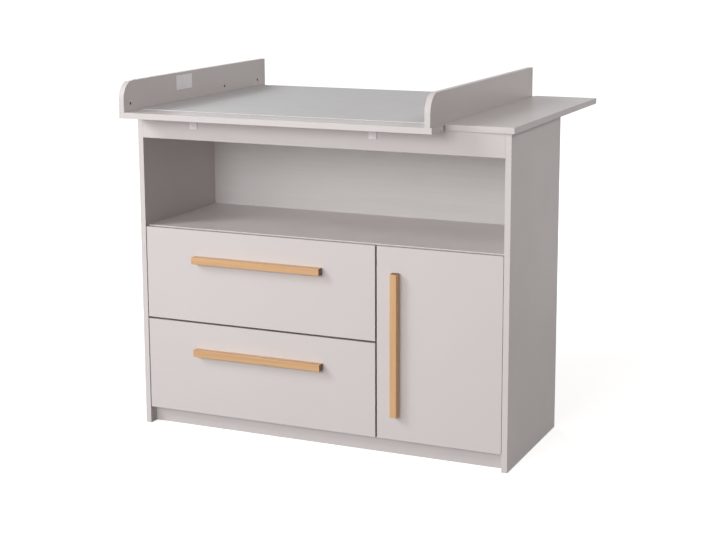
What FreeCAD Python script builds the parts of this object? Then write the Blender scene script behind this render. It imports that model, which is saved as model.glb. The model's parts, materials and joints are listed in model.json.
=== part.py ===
"""Changing dresser: a carcass with an open compartment over two drawers and a door,
a changing tray with two side walls on top, and a narrow side board beside the tray.

Lengths are millimetres. +Z is up, the fronts face -Y, and the origin lies on the floor
below the middle of the whole footprint."""
import FreeCAD
import Part

import math
import os
import re

import Sketcher
from FreeCAD import Placement, Rotation, Vector

os.makedirs("parts", exist_ok=True)
doc = FreeCAD.newDocument("ChangingDresser")

# ------------------------------------------------------------------ driving dimensions
SIZES = {
    # carcass
    "carcass_width": 1078,          # over both side panels
    "carcass_height": 879,          # floor to the top edge of the side panels
    "carcass_depth": 417,
    "board": 16,                    # laminated board of carcass and tray
    "floor_height": 571,            # top face of the open compartment's floor
    "rail_height": 62,              # front and rear top rails
    "plinth_height": 50,
    "plinth_setback": 30.5,         # front edge of the side panels to the plinth
    "rear_plinth_inset": 40,        # rear edge of the side panels to the rear plinth
    "drawer_bay_width": 688,        # left side panel to divider
    "back_thickness": 3,
    "back_inset": 18,               # rear edge of the side panels to the back panel
    "back_groove": 7,               # groove depth for the back panel
    "fit": 0.2,                     # clearance of a panel in its groove or seat
    # fronts
    "front_thickness": 16,
    "front_clearance": 1,           # fronts to the board edges behind them
    "front_gap": 2.5,               # fronts to the left panel and the compartment floor
    "door_side_gap": 1,             # door to the right side panel
    "front_drop": 1.5,              # fronts reach this far below the bottom panel
    "upper_front_height": 257,
    "drawer_front_gap": 5,
    "door_gap": 5,                  # drawer fronts to door
    # handles
    "handle_length": 385,
    "handle_height": 19,
    "handle_depth": 22,
    "handle_lip": 9,                # wood in front of the finger groove
    "handle_web": 6.5,              # wood beside the finger groove
    "handle_pad": 24,               # solid length at each end
    "handle_round": 1.5,
    "groove_round": 5,
    "handle_drop": 81,              # top edge of a drawer front to the handle's middle
    "door_handle_inset": 54.5,      # door's free edge to the handle's middle
    # drawers
    "box_rear_gap": 30,             # drawer to the back panel
    "box_height": 180,
    "box_side": 12,
    "box_floor": 3,
    "box_floor_lift": 12,           # lower edge of the sides to the drawer bottom
    "box_groove": 6,
    # roller runners
    "runner_space": 12.5,           # between the drawer and the carcass on each side
    "lower_runner_lift": 6,         # bottom panel to the lower cabinet runners
    "upper_runner_lift": 258,
    "runner_height": 30,
    "runner_sheet": 1.2,
    "runner_flange": 11,
    "runner_setback": 1.5,          # back of the fronts to the runners
    "runner_rear_gap": 28.5,        # cabinet runners to the back panel
    "box_lift": 8,                  # cabinet runner's foot to the drawer's lower edge
    "carrier_flange": 12,           # flange under the drawer side
    "wheel_diameter": 22,
    "wheel_width": 8,
    "wheel_axle": 5,
    "wheel_rivet": 8,
    "wheel_shoulder": 0.7,          # collar and rivet head beside a wheel
    "wheel_side_play": 0.2,
    "wheel_play": 0.3,              # wheel to the flange that runs on it
    "axle_play": 0.08,              # wheel bore round its axle
    "flange_play": 0.8,             # running flange to the web beside it
    "flange_over_wheel": 0.5,
    "front_wheel_inset": 17,        # runner's front end to the middle of its wheel
    "rear_wheel_inset": 14,
    # door hinges
    "cup_diameter": 35,
    "cup_depth": 11.5,
    "cup_wall": 1.2,
    "cup_edge": 22,                 # door's hinge edge to the middle of the cup
    "cup_end_inset": 90,            # door's ends to the middle of the cup
    "cup_flange_length": 62,
    "cup_flange_width": 20,
    "arm_height": 14,
    "arm_thickness": 8,
    "arm_length": 62,
    "arm_reach": 28,                # arm's nose out over the cup
    "arm_nose": 8,
    "arm_gap": 0.3,                 # rim of a cup to the arm over it
    "hinge_plate": 8,
    "hinge_plate_length": 42,
    "hinge_plate_height": 20,
    # adjustable shelf
    "shelf_height": 292,            # underside, above the floor
    "shelf_play": 1,
    "shelf_setback": 26,
    "pin_diameter": 5,
    "pin_length": 16,
    "pin_inset": 48,
    "pin_pitch": 32,
    "pin_hole": 9,
    # dowels and cam fittings
    "dowel_diameter": 8,
    "dowel_length": 30,
    "dowel_in_panel": 11,
    "dowel_spare": 1,               # room past each end of a dowel
    "peg_diameter": 6,              # pegs of the drawer boxes
    "peg_inset": 40,                # drawer's lower and upper edges to the pegs
    "back_peg_length": 28,
    "cam_diameter": 15,
    "cam_height": 12.5,
    "cam_reach": 24,                # board end to the middle of the cam
    "cam_bolt": 6,
    "cam_bolt_in_panel": 10,
    "cam_bore": 8,
    "cam_mouth": 2,                 # slot in a cam past the cam's middle
    "front_station_inset": 70,      # boards' front edges to the first cams
    "rear_station_inset": 80,       # boards' rear edges to the rear cams
    "station_step": 32,             # dowel beside its cam
    "rail_step": 18,                # dowel below the cam in a rail
    "plinth_step": 12,
    # changing tray
    "tray_width": 902,
    "tray_depth": 822,
    "tray_overhang": 92,            # in front of the carcass
    "wall_height": 84,
    "wall_round": 50,
    "wall_ledge": 4,                # tray base past the right wall
    "tray_floor": 3,
    "tray_floor_setback": 77,
    "tray_floor_rear": 17,
    "tray_floor_gap": 1.5,
    "wall_hole": 8,
    "wall_hole_depth": 12,
    "wall_hole_lift": 21.5,
    "wall_hole_front": 33,
    "wall_hole_middle": 558,
    "wall_hole_rear": 770,
    "wall_screw_end": 60,
    "wall_screw_middle": 411,
    # side board
    "side_board_gap": 1.5,
    "side_board_overhang": 9.5,
    "side_board_front": 8,
    "side_board_depth": 750,
    # corner brackets under tray and side board
    "bracket_width": 23,
    "bracket_leg": 32,
    "bracket_thickness": 3,
    "left_bracket": 177,            # left face of the carcass to the bracket's middle
    "right_bracket": 704,
    # screws
    "screw_head": 7,
    "screw_head_height": 2,
    "screw_shank": 3.5,
    "handle_screw_length": 28,
    "wall_screw": 6,
    "wall_screw_head": 10,
    "wall_screw_length": 50,
}

# --------------------------------------------------- places worked out from the sizes
PLACES = {
    "rear_reach": "max(tray_depth - tray_overhang; side_board_depth - side_board_front)",
    "left_x": "-(carcass_width + side_board_overhang) / 2",
    "front_y": "-(rear_reach - tray_overhang) / 2",
    "right_x": "left_x + carcass_width",
    "inner_left": "left_x + board",
    "inner_right": "right_x - board",
    "inner_width": "inner_right - inner_left",
    "divider_x": "inner_left + drawer_bay_width",
    "divider_middle": "divider_x + board / 2",
    "door_bay_x": "divider_x + board",
    "bottom_top": "plinth_height + board",
    "floor_under": "floor_height - board",
    "rail_z": "carcass_height - rail_height",
    "back_rear": "front_y + carcass_depth - back_inset",
    "back_front": "back_rear - back_thickness",
    "inner_front": "front_y + front_thickness + front_clearance",
    "inner_depth": "back_front - fit - inner_front",
    "front_station_y": "inner_front + front_station_inset",
    "rear_station_y": "inner_front + inner_depth - rear_station_inset",
    "rear_rail_y": "back_front - fit - board",
    "plinth_y": "front_y + plinth_setback",
    "rear_plinth_y": "front_y + carcass_depth - rear_plinth_inset - board",
    # fronts
    "front_top": "floor_height - front_gap",
    "front_bottom": "plinth_height - front_drop",
    "upper_front_z": "front_top - upper_front_height",
    "lower_front_height": "upper_front_z - drawer_front_gap - front_bottom",
    "drawer_front_x": "inner_left + front_gap",
    "drawer_front_width": "divider_middle - door_gap / 2 - drawer_front_x",
    "drawer_middle": "drawer_front_x + drawer_front_width / 2",
    "door_x": "divider_middle + door_gap / 2",
    "door_right": "inner_right - door_side_gap",
    "door_width": "door_right - door_x",
    "door_height": "front_top - front_bottom",
    "fronts_back": "front_y + front_thickness",
    # drawers and runners
    "box_x": "inner_left + runner_space",
    "box_width": "drawer_bay_width - 2 * runner_space",
    "box_right": "box_x + box_width",
    "box_rear": "back_front - box_rear_gap",
    "box_depth": "box_rear - fronts_back",
    "upper_runner_z": "bottom_top + upper_runner_lift",
    "lower_runner_z": "bottom_top + lower_runner_lift",
    "runner_y": "fronts_back + runner_setback",
    "runner_length": "back_front - runner_rear_gap - runner_y",
    "flange_tip": "runner_sheet + flange_play",
    "running_flange": "runner_sheet + wheel_play + wheel_diameter + flange_over_wheel",
    "front_wheel_y": "runner_y + front_wheel_inset",
    "front_wheel_z": "running_flange - wheel_play - wheel_diameter / 2",
    "rear_wheel_y": "box_rear - rear_wheel_inset",
    "rear_wheel_z": "runner_sheet + wheel_play + wheel_diameter / 2",
    "carrier_web": "runner_space - flange_tip - runner_sheet",
    "carrier_width": "runner_space - flange_tip + carrier_flange",
    "carrier_foot": "box_lift - runner_sheet",
    "carrier_top": "running_flange - carrier_foot",
    # door hinges
    "cup_x": "door_right - cup_edge",
    "upper_cup_z": "front_top - cup_end_inset",
    "lower_cup_z": "front_bottom + cup_end_inset",
    "arm_y": "fronts_back + cup_wall + arm_gap",
    # tray and side board
    "tray_y": "front_y - tray_overhang",
    "tray_top": "carcass_height + board",
    "right_wall_x": "left_x + tray_width - wall_ledge - board",
    "side_board_x": "left_x + tray_width + side_board_gap",
    "side_board_width": "right_x + side_board_overhang - side_board_x",
}


def fill_sheet(name, cells):
    """Make a spreadsheet with one named value in each row."""
    sheet = doc.addObject("Spreadsheet::Sheet", name)
    for row, (alias, content) in enumerate(cells.items(), start=1):
        sheet.set(f"A{row}", alias)
        sheet.set(f"B{row}", content)
        sheet.setAlias(f"B{row}", alias)
    return sheet


def formula(text):
    """Write the named values in an expression with the sheet that holds each."""
    def with_sheet(match):
        word = match.group()
        if word in SIZES:
            return f"Sizes.{word}"
        return f"Places.{word}" if word in PLACES else word
    return re.sub(r"[a-z_]+", with_sheet, str(text))


fill_sheet("Sizes", {alias: str(value) for alias, value in SIZES.items()})
doc.recompute()
fill_sheet("Places", {alias: "=" + re.sub("Places.", "", formula(text))
                      for alias, text in PLACES.items()})
doc.recompute()


# ------------------------------------------------------------------- building blocks
TURNS = {
    "+x": Rotation(Vector(0, 1, 0), 90),
    "-x": Rotation(Vector(0, 1, 0), -90),
    "+y": Rotation(Vector(1, 0, 0), -90),
    "-y": Rotation(Vector(1, 0, 0), 90),
    "+z": Rotation(),
    "-z": Rotation(Vector(1, 0, 0), 180),
}
PEG_FACES = 6
nodes = []


def place(item, at, turn=Rotation()):
    """Turn an object and bind its position."""
    item.Placement = Placement(Vector(), turn)
    for axis, text in zip("xyz", at):
        item.setExpression(f"Placement.Base.{axis}", formula(text))
    return item


def block(name, size, at):
    """A rectangular board or bar from its low corner."""
    item = doc.addObject("Part::Box", name)
    for side, text in zip(("Length", "Width", "Height"), size):
        item.setExpression(side, formula(text))
    return place(item, at)


def rod(name, diameter, length, at, heading):
    """A round bar or hole from the middle of its first end."""
    item = doc.addObject("Part::Cylinder", name)
    item.setExpression("Radius", formula(f"({diameter}) / 2"))
    item.setExpression("Height", formula(length))
    return place(item, at, TURNS[heading])


def peg(name, diameter, length, at, heading):
    """A slim bar with flat faces, or the hole for it: the fittings inside the boards."""
    item = doc.addObject("Part::Prism", name)
    item.Polygon = PEG_FACES
    item.setExpression("Circumradius", formula(f"({diameter}) / 2"))
    item.setExpression("Height", formula(length))
    return place(item, at, TURNS[heading])


def together(name, items):
    """Several separate solids as one object."""
    group = doc.addObject("Part::Compound", name)
    group.Links = items
    return group


def fused(name, items):
    """Several solids that touch, grown into one."""
    union = doc.addObject("Part::MultiFuse", name)
    union.Shapes = items
    return union


def without(name, blank, holes):
    """A blank with all its holes and grooves cut out."""
    cut = doc.addObject("Part::Cut", name)
    cut.Base = blank
    cut.Tool = holes[0] if len(holes) == 1 else together(name + "_holes", holes)
    return cut


def moved(at, by, heading):
    """The point that lies a distance along a heading from another point."""
    axis = "xyz".index(heading[1])
    point = list(at)
    point[axis] = f"{point[axis]} {heading[0]} ({by})"
    return tuple(point)


OPPOSITE = {"+x": "-x", "-x": "+x", "+y": "-y", "-y": "+y", "+z": "-z", "-z": "+z"}


def screw(name, at, heading, length, head="screw_head", shank="screw_shank"):
    """A screw whose head sits on the face at the point; its shank follows the heading."""
    cap = peg(name + "_head", head, "screw_head_height", at, OPPOSITE[heading])
    stem = peg(name + "_shank", shank, length, at, heading)
    return fused(name, [cap, stem])


def node(label, item):
    """Keep an object as a sub-part under its own label."""
    item.Label = label
    nodes.append(item)
    return item


def draw_outline(body, role, corners, name):
    """Sketch a closed outline on one of a body's own planes, with every corner
    bound to its sizes. A coordinate that is zero holds the corner on that axis."""
    plane = next(f for f in body.Origin.OriginFeatures if f.Role == role)
    sketch = body.newObject("Sketcher::SketchObject", name)
    sketch.AttachmentSupport = [(plane, "")]
    sketch.MapMode = "FlatFace"
    count = len(corners)
    start = [Vector(math.cos(2 * math.pi * i / count), math.sin(2 * math.pi * i / count), 0)
             for i in range(count)]
    for i in range(count):
        sketch.addGeometry(Part.LineSegment(start[i], start[(i + 1) % count]), False)
    for i in range(count):
        sketch.addConstraint(Sketcher.Constraint("Coincident", i, 2, (i + 1) % count, 1))
    for i, corner in enumerate(corners):
        for kind, axis, text in zip(("DistanceX", "DistanceY"), (-2, -1), corner):
            if text == "0":
                sketch.addConstraint(Sketcher.Constraint("PointOnObject", i, 1, axis))
                continue
            bound = sketch.addConstraint(Sketcher.Constraint(kind, -1, 1, i, 1, 1.0))
            sketch.setExpression(f"Constraints[{bound}]", formula(text))
    return sketch


def profile(name, role, corners, length, at, turn=Rotation()):
    """A body whose outline, drawn on a plane, is padded along +X, +Y or +Z."""
    body = doc.addObject("PartDesign::Body", name)
    pad = body.newObject("PartDesign::Pad", name + "_pad")
    pad.Profile = draw_outline(body, role, corners, name + "_outline")
    pad.Reversed = role == "XZ_Plane"
    pad.setExpression("Length", formula(length))
    return place(body, at, turn)


def pocket(body, role, corners, depth, offset="0", reverse=False):
    """Cut an outline into a body, from a plane moved along its normal."""
    name = f"{body.Name}_pocket"
    sketch = draw_outline(body, role, corners, name + "_outline")
    sketch.setExpression("AttachmentOffset.Base.z", formula(offset))
    cut = body.newObject("PartDesign::Pocket", name)
    cut.Profile = sketch
    cut.Reversed = reverse
    cut.setExpression("Length", formula(depth))


TOUCH = 0.01    # an edge that lies this near a limit of its piece lies on it


def round_edges(body, radius, chosen):
    """Round the edges of a body that a test picks."""
    doc.recompute()
    tip = body.Tip
    frame = tip.Shape.BoundBox
    names = [f"Edge{i}" for i, edge in enumerate(tip.Shape.Edges, start=1)
             if chosen(edge.BoundBox, frame)]
    fillet = body.newObject("PartDesign::Fillet", f"{body.Name}_round")
    fillet.Base = (tip, names)
    fillet.setExpression("Radius", formula(radius))


# ------------------------------------------------- dowels and cam fittings of the carcass
holes = {name: [] for name in (
    "left_side_panel", "right_side_panel", "bottom_panel", "compartment_floor", "divider",
    "front_rail", "rear_rail", "front_plinth", "rear_plinth")}
dowels, cam_bolts, cams = [], [], []


def dowel_joint(panel, board, at, heading):
    """A dowel across the joint face at a point; its heading leads from panel to board."""
    tag = f"dowel_{len(dowels)}"
    back = OPPOSITE[heading]
    start = moved(at, "dowel_in_panel", back)
    dowels.append(peg(tag, "dowel_diameter", "dowel_length", start, heading))
    holes[panel].append(peg(tag + "_panel_hole", "dowel_diameter",
                            "dowel_in_panel + dowel_spare", at, back))
    holes[board].append(peg(tag + "_board_hole", "dowel_diameter",
                            "dowel_length - dowel_in_panel + dowel_spare", at, heading))


def cam_joint(panel, board, at, heading, face, facing):
    """A bolt from the panel that ends in a cam; the cam is let into the board from the
    face whose coordinate is given, along the second heading."""
    tag = f"cam_{len(cams)}"
    cam_at = list(moved(at, "cam_reach", heading))
    cam_at["xyz".index(facing[1])] = face
    start = moved(at, "cam_bolt_in_panel", OPPOSITE[heading])
    cam_bolts.append(peg(tag + "_bolt", "cam_bolt", "cam_bolt_in_panel + cam_reach",
                         start, heading))
    holes[panel].append(peg(tag + "_panel_hole", "cam_bolt", "cam_bolt_in_panel",
                            at, OPPOSITE[heading]))
    holes[board].append(peg(tag + "_bore", "cam_bore", "cam_reach", at, heading))
    holes[board].append(peg(tag + "_pocket", "cam_diameter + 2 * fit",
                            "cam_height + fit", cam_at, facing))
    round_cam = peg(tag + "_blank", "cam_diameter", "cam_height", cam_at, facing)
    slot = peg(tag + "_slot", "cam_bore", "cam_reach + cam_mouth", at, heading)
    cams.append(without(tag, round_cam, [slot]))


END_JOINTS = (("left_side_panel", "inner_left", "+x"),
              ("right_side_panel", "inner_right", "-x"))
for panel, face_x, heading in END_JOINTS:
    for board_name, under in (("bottom_panel", "plinth_height"),
                              ("compartment_floor", "floor_under")):
        middle = f"{under} + board / 2"
        for cam_y in ("front_station_y", "rear_station_y"):
            cam_joint(panel, board_name, (face_x, cam_y, middle), heading, under, "+z")
            dowel_joint(panel, board_name, (face_x, f"{cam_y} + station_step", middle), heading)
    for board_name, low_y, bored_y, bored in (
            ("front_rail", "front_y", "front_y + board", "-y"),
            ("rear_rail", "rear_rail_y", "rear_rail_y", "+y")):
        middle = "rail_z + rail_height / 2"
        rail_y = f"{low_y} + board / 2"
        cam_joint(panel, board_name, (face_x, rail_y, middle), heading, bored_y, bored)
        dowel_joint(panel, board_name, (face_x, rail_y, f"{middle} - rail_step"), heading)
    for board_name, low_y in (("front_plinth", "plinth_y"), ("rear_plinth", "rear_plinth_y")):
        for side in ("-", "+"):
            dowel_joint(panel, board_name,
                        (face_x, f"{low_y} + board / 2",
                         f"plinth_height / 2 {side} plinth_step"), heading)
for station_y in ("front_station_y", "rear_station_y"):
    dowel_joint("bottom_panel", "divider", ("divider_middle", station_y, "bottom_top"), "+z")
    dowel_joint("compartment_floor", "divider",
                ("divider_middle", station_y, "floor_under"), "-z")

node("carcass_dowels", together("dowels", dowels))
node("cam_bolts", together("bolts", cam_bolts))
node("cam_locks", together("locks", cams))

# ----------------------------------------------------------- shelf pins and their holes
pins = []
pin_stations = ("inner_front + shelf_setback + pin_inset", "back_front - pin_inset")
for panel, face_x, outward in (("divider", "door_bay_x", "-x"),
                               ("right_side_panel", "inner_right", "+x")):
    for row, pin_y in enumerate(pin_stations):
        pin_z = "shelf_height - pin_diameter / 2"
        start = moved((face_x, pin_y, pin_z), "pin_length - pin_hole", OPPOSITE[outward])
        pins.append(peg(f"pin_{panel}_{row}", "pin_diameter", "pin_length", start, outward))
        for step in range(-1, 2):
            holes[panel].append(peg(f"{panel}_pin_hole_{row}_{step + 1}", "pin_diameter",
                                    "pin_hole", (face_x, pin_y, f"{pin_z} + {step} * pin_pitch"),
                                    outward))
node("shelf_pins", together("pins", pins))

# --------------------------------------------------------------------- corner brackets
LEG_IN_FRONT = (("0", "bracket_leg - bracket_thickness"),
                ("bracket_leg - bracket_thickness", "bracket_leg - bracket_thickness"),
                ("bracket_leg - bracket_thickness", "0"),
                ("bracket_leg", "0"), ("bracket_leg", "bracket_leg"), ("0", "bracket_leg"))
LEG_BEHIND = (("0", "0"), ("bracket_thickness", "0"),
              ("bracket_thickness", "bracket_leg - bracket_thickness"),
              ("bracket_leg", "bracket_leg - bracket_thickness"),
              ("bracket_leg", "bracket_leg"), ("0", "bracket_leg"))


def bracket(name, middle_x, face_y, behind):
    """An angle bracket against a rail's face, under the board that lies on the rail."""
    low_y = face_y if behind else f"{face_y} - bracket_leg"
    return profile(name, "YZ_Plane", LEG_BEHIND if behind else LEG_IN_FRONT, "bracket_width",
                   (f"{middle_x} - bracket_width / 2", low_y, "carcass_height - bracket_leg"))


tray_spots = {"left": "left_x + left_bracket", "right": "left_x + right_bracket"}
node("front_tray_brackets", together("front_brackets", [
    bracket(f"front_{side}_bracket", x, "front_y", False) for side, x in tray_spots.items()]))
node("rear_tray_brackets", together("rear_brackets", [
    bracket(f"rear_{side}_bracket", x, "back_rear", True) for side, x in tray_spots.items()]))
side_board_spot = "(side_board_x + inner_right) / 2"
node("side_board_brackets", together("side_brackets", [
    bracket("side_front_bracket", side_board_spot, "front_y + board", True),
    bracket("side_rear_bracket", side_board_spot, "rear_rail_y", False)]))

# --------------------------------------------------------------------- roller runners
BAY_SIDES = {"left": ("inner_left", "+x"), "right": ("divider_x", "-x")}
LEVELS = {"lower": "lower_runner_z", "upper": "upper_runner_z"}
CHANNEL = (("0", "0"), ("runner_flange", "0"), ("runner_flange", "runner_sheet"),
           ("runner_sheet", "runner_sheet"),
           ("runner_sheet", "runner_height - runner_sheet"),
           ("runner_flange", "runner_height - runner_sheet"),
           ("runner_flange", "runner_height"), ("0", "runner_height"))
CARRIER = (("carrier_web", "0"), ("carrier_width", "0"), ("carrier_width", "runner_sheet"),
           ("carrier_web + runner_sheet", "runner_sheet"),
           ("carrier_web + runner_sheet", "carrier_top + runner_sheet"),
           ("0", "carrier_top + runner_sheet"), ("0", "carrier_top"),
           ("carrier_web", "carrier_top"))


def mirrored(corners, width):
    """The same outline seen from the other side, within its width."""
    return tuple((width if u == "0" else "0" if u == width else f"{width} - ({u})", v)
                 for u, v in reversed(corners))


def step_in(face_x, inward, distance):
    """An X place at a distance from a bay's side."""
    return f"{face_x} {inward[0]} ({distance})"


def axle(name, from_x, heading, y, z):
    """A fixed axle with a collar at its root and a rivet head at its end."""
    span = "2 * wheel_shoulder + 2 * wheel_side_play + wheel_width"
    root = (from_x, y, z)
    tip = moved(root, f"{span} - wheel_shoulder", heading)
    return [rod(name + "_pin", "wheel_axle", span, root, heading),
            peg(name + "_collar", "wheel_rivet", "wheel_shoulder", root, heading),
            peg(name + "_rivet", "wheel_rivet", "wheel_shoulder", tip, heading)]


def wheel(name, from_x, heading, y, z):
    """A plain nylon wheel that turns on an axle."""
    start = moved((from_x, y, z), "wheel_shoulder + wheel_side_play", heading)
    tyre = rod(name + "_rim", "wheel_diameter", "wheel_width", start, heading)
    bore = rod(name + "_bore", "wheel_axle + 2 * axle_play", "wheel_width", start, heading)
    return without(name, tyre, [bore])


def cabinet_runner(level, side):
    """The channel on the carcass, with the axle of its front wheel."""
    face_x, inward = BAY_SIDES[side]
    name = f"{level}_{side}_channel"
    left = side == "left"
    low = (face_x if left else f"{face_x} - runner_flange", "runner_y", LEVELS[level])
    channel = profile(name, "XZ_Plane", CHANNEL if left else mirrored(CHANNEL, "runner_flange"),
                      "runner_length", low)
    web = step_in(face_x, inward, "runner_sheet")
    pin = axle(name, web, inward, "front_wheel_y", f"{LEVELS[level]} + front_wheel_z")
    return fused(name + "_with_axle", [channel] + pin)


def drawer_runner(level, side):
    """The flanged rail under a drawer side, with the axle of its rear wheel."""
    face_x, inward = BAY_SIDES[side]
    name = f"{level}_{side}_carrier"
    left = side == "left"
    tip = step_in(face_x, inward, "flange_tip")
    low = (tip if left else f"{tip} - carrier_width", "runner_y",
           f"{LEVELS[level]} + carrier_foot")
    rail = profile(name, "XZ_Plane", CARRIER if left else mirrored(CARRIER, "carrier_width"),
                   "box_rear - runner_y", low)
    web = step_in(face_x, inward, "runner_space - runner_sheet")
    pin = axle(name, web, OPPOSITE[inward], "rear_wheel_y", f"{LEVELS[level]} + rear_wheel_z")
    return fused(name + "_with_axle", [rail] + pin)


for level in LEVELS:
    for side in BAY_SIDES:
        node(f"{level}_{side}_cabinet_runner", cabinet_runner(level, side))
    node(f"{level}_front_wheels", together(f"{level}_front_pair", [
        wheel(f"{level}_{side}_front_wheel", step_in(face_x, inward, "runner_sheet"), inward,
              "front_wheel_y", f"{LEVELS[level]} + front_wheel_z")
        for side, (face_x, inward) in BAY_SIDES.items()]))
    node(f"{level}_rear_wheels", together(f"{level}_rear_pair", [
        wheel(f"{level}_{side}_rear_wheel",
              step_in(face_x, inward, "runner_space - runner_sheet"), OPPOSITE[inward],
              "rear_wheel_y", f"{LEVELS[level]} + rear_wheel_z")
        for side, (face_x, inward) in BAY_SIDES.items()]))

# ------------------------------------------------------------------------ door hinges
ARM = (("0", "0"), ("arm_reach + arm_thickness", "0"),
       ("arm_reach + arm_thickness", "arm_length"), ("arm_reach", "arm_length"),
       ("arm_reach", "arm_nose"), ("0", "arm_nose"))
plates, door_holes = [], []
for level, cup_z in (("upper", "upper_cup_z"), ("lower", "lower_cup_z")):
    plates.append(block(f"{level}_plate",
                        ("hinge_plate", "hinge_plate_length", "hinge_plate_height"),
                        ("inner_right - hinge_plate",
                         "arm_y + arm_length - hinge_plate_length",
                         f"{cup_z} - hinge_plate_height / 2")))
    node(f"{level}_hinge_arm",
         profile(f"{level}_arm", "XY_Plane", ARM, "arm_height",
                 ("inner_right - hinge_plate - arm_thickness - arm_reach", "arm_y",
                  f"{cup_z} - arm_height / 2")))

    middle = ("cup_x", "fronts_back", cup_z)
    rim = moved(middle, "cup_wall", "+y")
    flange = block(f"{level}_cup_flange", ("cup_flange_width", "cup_wall", "cup_flange_length"),
                   ("cup_x - cup_flange_width / 2", "fronts_back",
                    f"{cup_z} - cup_flange_length / 2"))
    bowl = rod(f"{level}_cup_bowl", "cup_diameter - 2 * fit", "cup_depth + cup_wall", rim, "-y")
    hollow = rod(f"{level}_cup_hollow", "cup_diameter - 2 * fit - 2 * cup_wall",
                 "cup_depth", rim, "-y")
    door_holes.append(rod(f"{level}_cup_bore", "cup_diameter", "cup_depth + fit", middle, "-y"))
    node(f"{level}_hinge_cup",
         without(f"{level}_cup", fused(f"{level}_cup_blank", [flange, bowl]), [hollow]))
node("hinge_plates", together("plates", plates))

# ----------------------------------------------------------------------------- handles
GRIP = (("0", "0"), ("handle_depth", "0"), ("handle_depth", "handle_height"),
        ("0", "handle_height"))
GRIP_GROOVE = (("handle_pad", "handle_lip"), ("handle_length - handle_pad", "handle_lip"),
               ("handle_length - handle_pad", "handle_depth"), ("handle_pad", "handle_depth"))


def handle_screw(name, at):
    """A screw from the back of a front into its handle, and the hole for it."""
    return (screw(name, at, "-y", "handle_screw_length"),
            peg(name + "_hole", "screw_shank", "handle_screw_length", at, "-y"))


def handle(name, at, turn=Rotation()):
    """A wooden bar with a finger groove along its back, solid at both ends."""
    bar = profile(name, "YZ_Plane", GRIP, "handle_length", at, turn)
    pocket(bar, "XY_Plane", GRIP_GROOVE, "handle_height - handle_web", reverse=True)
    round_edges(bar, "groove_round", lambda edge, frame:
                edge.XLength > frame.XLength / 2 and edge.YMin > frame.YMin + TOUCH
                and edge.YMax < frame.YMax - TOUCH and edge.ZMin > frame.ZMin + TOUCH)
    round_edges(bar, "handle_round", lambda edge, frame:
                edge.YMax < frame.YMin + TOUCH and edge.XLength > TOUCH)
    return bar


# ------------------------------------------------------------------------------ boards
back_slot = {side: block(f"{side}_back_groove",
                         ("back_groove", "back_thickness + 2 * fit", "carcass_height"),
                         (x, "back_front - fit", "0"))
             for side, x in (("left", "inner_left - back_groove"), ("right", "inner_right"))}
SIDE = ("board", "carcass_depth", "carcass_height")
node("left_side_panel", without("left_panel", block("left_board", SIDE,
     ("left_x", "front_y", "0")), holes["left_side_panel"] + [back_slot["left"]]))
node("right_side_panel", without("right_panel", block("right_board", SIDE,
     ("inner_right", "front_y", "0")), holes["right_side_panel"] + [back_slot["right"]]))

FLAT = ("inner_width", "inner_depth", "board")
node("bottom_panel", without("bottom", block("bottom_board", FLAT,
     ("inner_left", "inner_front", "plinth_height")), holes["bottom_panel"]))
node("compartment_floor", without("floor", block("floor_board", FLAT,
     ("inner_left", "inner_front", "floor_under")), holes["compartment_floor"]))
node("divider", without("divider_cut", block("divider_board",
     ("board", "inner_depth", "floor_under - bottom_top"),
     ("divider_x", "inner_front", "bottom_top")), holes["divider"]))

RAIL = ("inner_width", "board", "rail_height")
node("front_rail", without("front_rail_cut", block("front_rail_board", RAIL,
     ("inner_left", "front_y", "rail_z")), holes["front_rail"]))
node("rear_rail", without("rear_rail_cut", block("rear_rail_board", RAIL,
     ("inner_left", "rear_rail_y", "rail_z")), holes["rear_rail"]))

PLINTH = ("inner_width", "board", "plinth_height")
for label, low_y in (("front_plinth", "plinth_y"), ("rear_plinth", "rear_plinth_y")):
    node(label, without(label + "_cut", block(label + "_board", PLINTH,
         ("inner_left", low_y, "0")), holes[label]))

node("back_panel", block("back_board",
     ("inner_width + 2 * (back_groove - fit)", "back_thickness",
      "carcass_height - plinth_height"),
     ("inner_left - back_groove + fit", "back_front", "plinth_height")))

node("adjustable_shelf", block("shelf",
     ("inner_right - door_bay_x - 2 * shelf_play",
      "back_front - shelf_play - inner_front - shelf_setback", "board"),
     ("door_bay_x + shelf_play", "inner_front + shelf_setback", "shelf_height")))

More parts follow.
